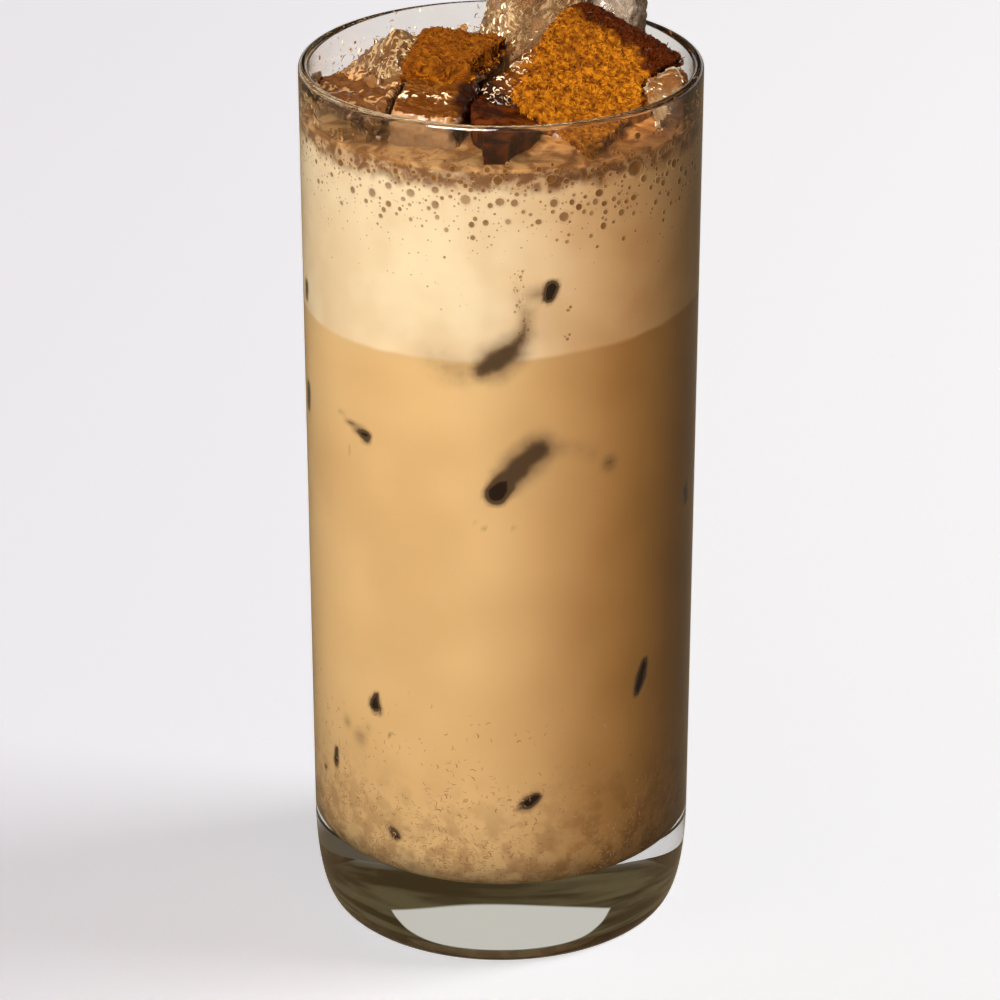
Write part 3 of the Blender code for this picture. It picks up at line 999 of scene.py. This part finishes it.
def surface_points(piece, count, seed, least_up, path=None, reach=0):
    """Points spread evenly over the faces that look up enough, each with its normal.

    Where a path is given, only faces within reach of it, seen from above, are used.
    """
    mesh = piece.data
    mesh.calc_loop_triangles()
    draw = random.Random(seed)
    faces = [face for face in mesh.loop_triangles if face.normal.z >= least_up]
    if path:
        stops = np.array(path) * MM
        spots = np.array([face.center[:2] for face in faces])
        away = np.linalg.norm(spots[:, None] - stops, axis=2).min(1)
        faces = [face for face, gap in zip(faces, away) if gap < reach]
    for face in draw.choices(faces, [face.area for face in faces], k=count):
        first, second, third = (mesh.vertices[corner].co for corner in face.vertices)
        along, aside = draw.random(), draw.random()
        if along + aside > 1:
            along, aside = 1 - along, 1 - aside
        yield first + (second - first) * along + (third - first) * aside, face.normal.copy()


def lying(point, normal, draw, size, lift=0.0, flat=1.0):
    """Lays a template, drawn along X and facing up, on a surface, turned at random."""
    across = normal.orthogonal().normalized()
    spin = Matrix.Rotation(draw.uniform(0, math.tau), 3, normal)
    along = spin @ across
    axes = Matrix((along * size, normal.cross(along) * size, normal * size * flat))
    return Matrix.Translation(point + normal * lift) @ axes.transposed().to_4x4()


def build_fibre(thin=FIBRE_WIDTH / FIBRE_LENGTH):
    """A thin three-sided shred, one unit long and bent in an arc."""
    fibre = disc(3, thin, (-0.5, 0, 0), (0, math.pi / 2, 0))
    bpy.ops.object.mode_set(mode="EDIT")
    for _ in range(4):
        bpy.ops.mesh.extrude_region_move(TRANSFORM_OT_translate={"value": (0.25, 0, 0)})
    closed_up()
    for corner in fibre.data.vertices:
        corner.co.y += 0.9 * (corner.co.x**2 - 0.1)
        corner.co.z -= 0.25 * corner.co.x**2
    return fibre


def build_fibres(kind, count, crust):
    draw = random.Random(FIBRE_SEED)
    places, tones = [], []
    for point, normal in surface_points(crust, count, FIBRE_SEED, -0.2):
        size = FIBRE_LENGTH * draw.uniform(0.45, 1.25)
        leaning = (normal + Vector([draw.uniform(-0.35, 0.35) for _ in range(3)])).normalized()
        places.append(lying(point, leaning, draw, size, 0.05 * MM))
        tones.append(draw.uniform(0.38, 0.80))
    return joined(f"cinnamon_fibres_{kind}", build_fibre(), places, tones)


for (kind, count), crust, darker in zip(FIBRES, (large_crust, middle_crust), (0.08, 0.58)):
    fibres = build_fibres(kind, count, crust)
    dress(fibres, cinnamon_look(f"fibres {kind}", darker, "shade"), "cinnamon")

# The drift
# Loose grains and shreds that fell round the two crusts and lie on the wet ice.
DRIFT_COUNT = 2600
DRIFT_SEED = 12


def build_drift():
    draw = random.Random(DRIFT_SEED)
    places, tones = [], []
    for cube in CRUST_BY:
        piece = bpy.data.objects[f"{cube}_wet"]
        near = np.zeros(len(piece.data.vertices), np.float32)
        piece.data.attributes["dust"].data.foreach_get("value", near)
        corners = corner_finder(piece)
        for point, normal in surface_points(piece, DRIFT_COUNT, DRIFT_SEED, 0.1):
            if draw.random() < near[corners.find(point)[1]] ** 1.5:
                places.append(lying(point, normal, draw, draw.uniform(0.3, 0.9) * MM, 0.05 * MM, 1.2))
                tones.append(draw.uniform(0.3, 0.7))
    return joined("cinnamon_drift", build_fibre(0.16), places, tones)


dress(build_drift(), cinnamon_look("drift", 0.2, "shade"), "cinnamon")

# The spill
# A tongue of the same ground cinnamon that slid off the large cube onto the froth in front.
SPILL_OUTLINE = (
    (8.0, -17.0), (10.2, -20.5), (12.0, -24.0), (14.0, -27.5), (15.6, -25.6), (17.2, -22.0),
    (19.0, -18.5), (19.6, -15.0), (14.0, -14.0),
)
SPILL_FOOT = 145.4
SPILL_TOPS = (149.2, 148.6, 147.6, 146.8, 147.2, 148.0, 149.0, 149.8, 150.4)
SPILL_FIBRES = 700


def drawn(name, outline, foot, tops):
    """A slab drawn from an outline, its top at a height of its own over each corner."""
    slab = disc(len(outline), 10 * MM, (0, 0, foot * MM))
    slab.name = name
    bpy.ops.object.transform_apply()
    for corner, (across, back) in zip(slab.data.vertices, outline):
        corner.co.xy = (across * MM, back * MM)
    bpy.ops.object.mode_set(mode="EDIT")
    bpy.ops.mesh.select_all(action="SELECT")
    bpy.ops.mesh.extrude_region_move(TRANSFORM_OT_translate={"value": (0, 0, MM)})
    closed_up()
    for corner in slab.data.vertices:
        if corner.co.z > (foot + 0.5) * MM:
            gaps = [(Vector(spot) * MM - corner.co.xy).length for spot in outline]
            corner.co.z = tops[gaps.index(min(gaps))] * MM
    return slab


def worn(piece, rounds):
    """Rounds the edges of a heap off."""
    smooth = piece.modifiers.new("worn", "SMOOTH")
    smooth.iterations = rounds
    return piece


def build_spill():
    heap = drawn("cinnamon_spill", SPILL_OUTLINE, SPILL_FOOT, SPILL_TOPS)
    return clumped(worn(evened(heap, CRUST_VOXEL), 10))


spill = build_spill()
dress(spill, cinnamon_look("spill", 0.0), "cinnamon")
spill_fibres = build_fibres("spill", SPILL_FIBRES, spill)
dress(spill_fibres, cinnamon_look("fibres spill", 0.0, "shade"), "cinnamon")

# The wet hollow
# Spice and tea run together in the gap between the two cubes in front, where they stand
# dark and glossy; their near-black in the middle is partly painted shade in the gap.
HOLLOW_OUTLINE = (
    (-3.1, -30.6), (1.5, -30.7), (2.2, -27.0), (5.2, -24.0), (6.6, -20.5), (6.8, -16.5),
    (2.2, -13.0), (-1.2, -9.0), (-3.0, -9.5), (-5.0, -16.0), (-5.4, -20.5), (-3.3, -25.5),
)
WET_SPICE_AND_GAP_SHADE = colour(0.018, 0.003, 0.0005)
WET_SPICE_LIGHT = colour(0.080, 0.015, 0.001)
HOLLOW_VOXEL = 0.3 * MM
HOLLOW_FOOT = 145.6
HOLLOW_TOPS = (150.2, 150.2, 150.0, 149.4, 149.4, 149.8, 151.2, 153.0, 153.4, 152.2, 151.0, 150.0)


def build_hollow():
    """A low pool drawn along the gap and out to the glass, its edges worn round."""
    pool = evened(drawn("wet_hollow", HOLLOW_OUTLINE, HOLLOW_FOOT, HOLLOW_TOPS), HOLLOW_VOXEL)
    rippled(worn(pool, 14), "hollow waves", "CLOUDS", 2.2 * MM, 0.9 * MM)
    return smoothed(apply_all(pool), 80)


def hollow_look():
    look, tree, surface, place = finish("wet spice", 0.24, Specular_IOR_Level=0.12)
    patches = graded(tree, cloud(tree, place, 420), 0.4, 0.66)
    # Painted shade in part: the pool's near-black stands for wet spice and the shade of the gap.
    brown = mixed(tree, patches, WET_SPICE_AND_GAP_SHADE, WET_SPICE_LIGHT)
    tree.links.new(brown, surface.inputs["Base Color"])
    uneven(tree, surface, place, 900, 0.5, 0.0004)
    return look


dress(build_hollow(), hollow_look(), "cinnamon")

# The settled spice
# Fine shreds of bark and leaf that sank and cling to the glass low down, thickest at the
# bottom.
SETTLED_COUNT = 7300
SETTLED_SEED = 31
SETTLED_PALE = colour(0.60, 0.37, 0.17)
SETTLED_FOOT = 16.0
SETTLED_TOP = 52.0
CLUMP_RADIUS = 31
CLUMP_GRAIN = 0.16


def build_settled():
    draw = random.Random(SETTLED_SEED)
    places, tones = [], []
    while len(places) < SETTLED_COUNT:
        turn = draw.uniform(-180, 180)
        height = SETTLED_FOOT + draw.expovariate(1 / 7.2)
        if height > SETTLED_TOP:
            continue
        clump = noise.noise(Vector((math.radians(turn) * CLUMP_RADIUS, height, 0)) * CLUMP_GRAIN)
        if draw.random() * 0.9 > 0.5 + clump:
            continue
        size = draw.uniform(0.3, 0.9) * MM
        spin = draw.uniform(-math.pi, math.pi)
        bent = size * draw.uniform(0.4, 1.3)
        lift = REACH + 0.02 * MM
        places.append(on_wall(turn, height * MM, lift, size, bent, 0.5 * MM, spin=spin))
        tones.append(draw.uniform(0.0, 1.0))
    return joined("settled_spice", build_fibre(0.12), places, tones)


def settled_look():
    look, tree, surface, place = finish("settled spice", 0.8, Specular_IOR_Level=0.0)
    tone = product(tree, stored(tree, "shade"), 0.7)
    tone = maths(tree, "ADD", tone, product(tree, cloud(tree, place, 400), 0.4))
    tree.links.new(mixed(tree, tone, SPICE, SETTLED_PALE), surface.inputs["Base Color"])
    return look


dress(build_settled(), settled_look(), "chai")

# The flecks
# Cream and brown flecks of froth: along the wet ridge of the large cube and the middle cube's
# bevel, on the back, side and peak cubes, and splashed on the inside of the glass at the back.
# The cream flecks on the ice are partly painted highlights, glints of the wet surface.
RIDGE_PATH = (
    (-2.3, -13.8), (-0.2, -10.1), (0.7, -3.6), (3.1, -5.9), (5.6, -1.8), (7.2, -1.2), (8.9, 0.8),
    (1.8, -12.1), (4.7, -9.5), (7.2, -6.1), (9.7, -1.3), (-1.0, -15.2),
)
BEVEL_PATH = ((-15.5, -16.7), (-14.4, -16.0), (-12.0, -15.6), (-9.4, -16.6), (-9.7, -18.8))
BACK_PATH = ((-1.8, 13.4), (2.3, 7.7), (6.5, 9.5), (4.0, 12.0), (0.0, 9.0))
SIDE_PATH = ((25.8, -13.4), (27.5, -10.0))
PEAK_PATH = ((-18.3, 1.9), (-15.8, -0.2), (-12.5, 0.5))
FLECKS_ON = {
    "ice_large": dict(path=RIDGE_PATH, reach=2.2 * MM, count=210, longest=1.0),
    "ice_middle": dict(path=BEVEL_PATH, reach=1.2 * MM, count=26, longest=1.3),
    "ice_back": dict(path=BACK_PATH, reach=5.0 * MM, count=150, longest=1.1),
    "ice_side": dict(path=SIDE_PATH, reach=5.0 * MM, count=40, longest=0.8),
    "ice_peak": dict(path=PEAK_PATH, reach=5.0 * MM, count=40, longest=0.7),
}
FLECK_SEED = 44
FLECK_BROWN = colour(0.16, 0.065, 0.022)
FLECK_CREAM_AND_GLINT = colour(0.80, 0.56, 0.30)
FLECK_PALE_AND_GLINT = colour(1.0, 0.86, 0.62)
SPLASH_FLECKS = 420
SPLASH_FOOT = 147.4
SPLASH_TOP = 156.0


def build_flecks():
    draw = random.Random(FLECK_SEED)
    places, tones = [], []
    for cube, spread in FLECKS_ON.items():
        piece = bpy.data.objects[f"{cube}_wet"]
        path, reach = spread["path"], spread["reach"]
        for point, normal in surface_points(piece, spread["count"], FLECK_SEED, 0, path, reach):
            size = draw.uniform(0.3, spread["longest"]) * MM
            places.append(lying(point, normal, draw, size, 0.04 * MM, 1.6))
            tones.append(draw.choice((0.5, 0.8, 1.0)))
    for _ in range(SPLASH_FLECKS):
        turn = draw.choice((-1, 1)) * (180 - min(draw.expovariate(1 / 30), 100))
        height = (SPLASH_FOOT + draw.expovariate(1 / 1.6)) * MM
        if height < SPLASH_TOP * MM:
            size = draw.uniform(0.15, 0.9) * MM
            spin = draw.uniform(-math.pi, math.pi)
            places.append(on_wall(turn, height, -0.02 * MM, size, size, size * 1.6, True, spin))
            tones.append(draw.choice((0.0, 0.15, 0.3, 0.9)))
    return joined("froth_flecks_and_glints", build_fibre(0.13), places, tones)


def fleck_look():
    look, tree, surface, place = finish("froth flecks and glints", 0.15, Coat_Weight=0.5)
    # Painted highlight in part: the cream and pale flecks on the ice stand for glints as well as
    # froth.
    pale = mixed(tree, cloud(tree, place, 500), FLECK_CREAM_AND_GLINT, FLECK_PALE_AND_GLINT)
    fleck = mixed(tree, stored(tree, "shade"), FLECK_BROWN, pale)
    tree.links.new(fleck, surface.inputs["Base Color"])
    return look


dress(build_flecks(), fleck_look(), "froth")

# The floor
# A wide pale studio table, softly lit from within so that it stays pale round the glass.
FLOOR_EDGE = 3.0
FLOOR_THICK = 0.04
FLOOR_PALE = colour(0.86, 0.866, 0.882)
FLOOR_SHADOW_LILAC = colour(0.850, 0.842, 0.895)
FLOOR_GLOW = 0.68
FLOOR_BOUNCE = 0.08
FLOOR_MIRRORED = colour(0.21, 0.155, 0.095)
FLOOR_SHADE_BEHIND = colour(0.105, 0.090, 0.065)
SHADOW_LILAC_FADE = (-0.12, 0.06)
BEHIND_SIDE = (0.005, -0.005)
BEHIND_REACH = (0.17, 0.14)


def build_floor():
    """A wide round table top, with its edge rolled down out of sight."""
    outline = [(0.2, -FLOOR_THICK), (FLOOR_EDGE, -FLOOR_THICK)]
    outline += arc((FLOOR_EDGE, -FLOOR_THICK / 2), (FLOOR_THICK / 2, FLOOR_THICK / 2), -90, 90, 8)
    return smoothed(turned("floor", outline + [(0.2, 0)], 96), 60)


def floor_look():
    """Pale and glowing to the camera, tinted lilac on the left as painted shadow, and darker through
    the glass as painted shade, in mirrors and as a light.
    """
    look, tree, surface, place = finish(
        "pale table", 0.9, Specular_IOR_Level=0.1, Emission_Strength=FLOOR_GLOW
    )
    parts = split(tree, place)
    path = node(tree, "LightPath").outputs
    # Painted shadow colour: the left of the table is tinted lilac.
    shown = mixed(tree, graded(tree, parts["X"], *SHADOW_LILAC_FADE), FLOOR_SHADOW_LILAC, FLOOR_PALE)
    reach = node(tree, "VectorMath", {0: place}, operation="LENGTH").outputs["Value"]
    # Painted shade: the table behind on the left is darker where it is seen through the glass.
    left = product(tree, graded(tree, parts["X"], *BEHIND_SIDE), graded(tree, reach, *BEHIND_REACH))
    left = product(tree, left, path["Is Transmission Ray"])
    shown = mixed(tree, left, shown, FLOOR_SHADE_BEHIND)
    shown = mixed(tree, path["Glossy Depth"], shown, FLOOR_MIRRORED)
    dim = colour(*[FLOOR_BOUNCE * part for part in FLOOR_PALE[:3]])
    shown = mixed(tree, path["Diffuse Depth"], shown, dim)
    tree.links.new(shown, surface.inputs["Base Color"])
    tree.links.new(shown, surface.inputs["Emission Color"])
    return look


floor = build_floor()
floor.data.materials.append(floor_look())
floor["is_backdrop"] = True

# The light
# A large soft box in front to the left lights the glass, and a weak one its back. A third on
# the right lays its shadow on the table, and the room is pale.
BEAMS = {
    "key": dict(turn=-25, rise=38, away=1.0, size=0.55, power=28.6, tint=(1.0, 0.985, 0.95)),
    "side": dict(turn=95, rise=36, away=1.7, size=0.75, power=15.0, tint=(1.0, 1.0, 1.0)),
    "back": dict(turn=165, rise=24, away=1.2, size=0.7, power=8.0, tint=(1.0, 0.97, 0.92)),
}
ROOM_LIGHT = colour(0.060, 0.036, 0.018)
ROOM_PALE = colour(0.90, 0.90, 0.915)
ROOM_DARK = colour(0.036, 0.024, 0.008)
ROOM_DIM = colour(0.098, 0.076, 0.036)
ROOM_ABOVE = colour(0.34, 0.325, 0.30)
HORIZON = (0.17, 0.28)
PANEL = colour(0.595, 0.578, 0.525)
PANEL_LOW = (0.342, 1.9)
PANEL_HIGH = (0.520, -0.22)
PANEL_EDGE = 0.010
AIM = Vector((0, 0, 74.04)) * MM


def build_beam(name, turn, rise, away, size, power, tint):
    angle, up = math.radians(turn), math.radians(rise)
    out = Vector((math.sin(angle) * math.cos(up), -math.cos(angle) * math.cos(up), math.sin(up)))
    bpy.ops.object.light_add(type="AREA", location=AIM + out * away)
    beam = bpy.context.object
    beam.name = name
    beam.rotation_euler = out.to_track_quat("Z", "Y").to_euler()
    beam.data.size = size
    beam.data.energy = power
    beam.data.color = tint
    beam.visible_camera = False
    return beam


def lit_only(beam, pieces):
    group = bpy.data.collections.new(f"lit by {beam.name}")
    for piece in pieces:
        group.objects.link(piece)
    beam.light_linking.receiver_collection = group


beams = {name: build_beam(name, **values) for name, values in BEAMS.items()}
lit_only(beams["key"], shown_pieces())
lit_only(beams["back"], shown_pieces())
beams["back"].visible_glossy = False
beams["back"].visible_transmission = False
lit_only(beams["side"], [floor])


def build_room():
    """Pale to the camera and near the horizon, dark above, and dim as a light."""
    world = bpy.data.worlds.new("room")
    world.use_nodes = True
    world.cycles.sampling_method = "NONE"
    tree = world.node_tree
    backdrop = tree.nodes["Background"]
    path = node(tree, "LightPath").outputs
    towards = split(tree, node(tree, "TexCoord").outputs["Generated"])
    up = towards["Z"]
    level = maths(tree, "SUBTRACT", 1.0, product(tree, up, up))
    aside = maths(tree, "DIVIDE", product(tree, towards["X"], towards["X"]), level)
    low = maths(tree, "MULTIPLY_ADD", product(tree, aside, aside), PANEL_LOW[1], PANEL_LOW[0])
    high = maths(tree, "MULTIPLY_ADD", aside, PANEL_HIGH[1], PANEL_HIGH[0])
    below, above = maths(tree, "SUBTRACT", up, low), maths(tree, "SUBTRACT", high, up)
    panel = graded(tree, maths(tree, "MINIMUM", below, above), 0.0, PANEL_EDGE)
    behind = maths(tree, "GREATER_THAN", towards["Y"], 0.0)
    unmirrored = maths(tree, "SUBTRACT", 1.0, path["Is Reflection Ray"])
    panel = product(tree, panel, behind, unmirrored)
    feeds = {0: towards["X"], 1: towards["Y"], 2: product(tree, up, 14)}
    stretched = node(tree, "CombineXYZ", feeds).outputs[0]
    streaks = graded(tree, cloud(tree, stretched, 2.2, 3), 0.36, 0.64)
    dark = mixed(tree, streaks, ROOM_DARK, ROOM_DIM)
    dark = mixed(tree, graded(tree, up, 0.60, 0.74), dark, ROOM_ABOVE)
    seen = mixed(tree, graded(tree, up, *HORIZON), ROOM_PALE, dark)
    seen = mixed(tree, panel, seen, PANEL)
    seen = mixed(tree, path["Diffuse Depth"], seen, ROOM_LIGHT)
    seen = mixed(tree, path["Is Camera Ray"], seen, ROOM_PALE)
    tree.links.new(seen, backdrop.inputs["Color"])
    return world


bpy.context.scene.world = build_room()

# The camera
# It looks down on the glass from the front, from far away, so the sides stay nearly upright.
CAMERA_AWAY = 0.740
CAMERA_PITCH = math.radians(24.23)
LENS = 154.476


def build_camera():
    bpy.ops.object.camera_add()
    camera = bpy.context.object
    back = Vector((0, -math.cos(CAMERA_PITCH), math.sin(CAMERA_PITCH)))
    camera.location = AIM + back * CAMERA_AWAY
    camera.rotation_euler = (math.pi / 2 - CAMERA_PITCH, 0, 0)
    camera.data.lens = LENS
    camera.data.shift_x = -0.001
    camera.data.clip_start = 0.01
    return camera


scene = bpy.context.scene
scene.camera = build_camera()
scene.view_settings.view_transform = "Standard"
scene.cycles.max_bounces = 8
scene.cycles.transmission_bounces = 8
scene.cycles.diffuse_bounces = 3

sizes = {"cad": cad_box, "visual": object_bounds()}
{name: [list(corner) for corner in box] for name, box in sizes.items()}
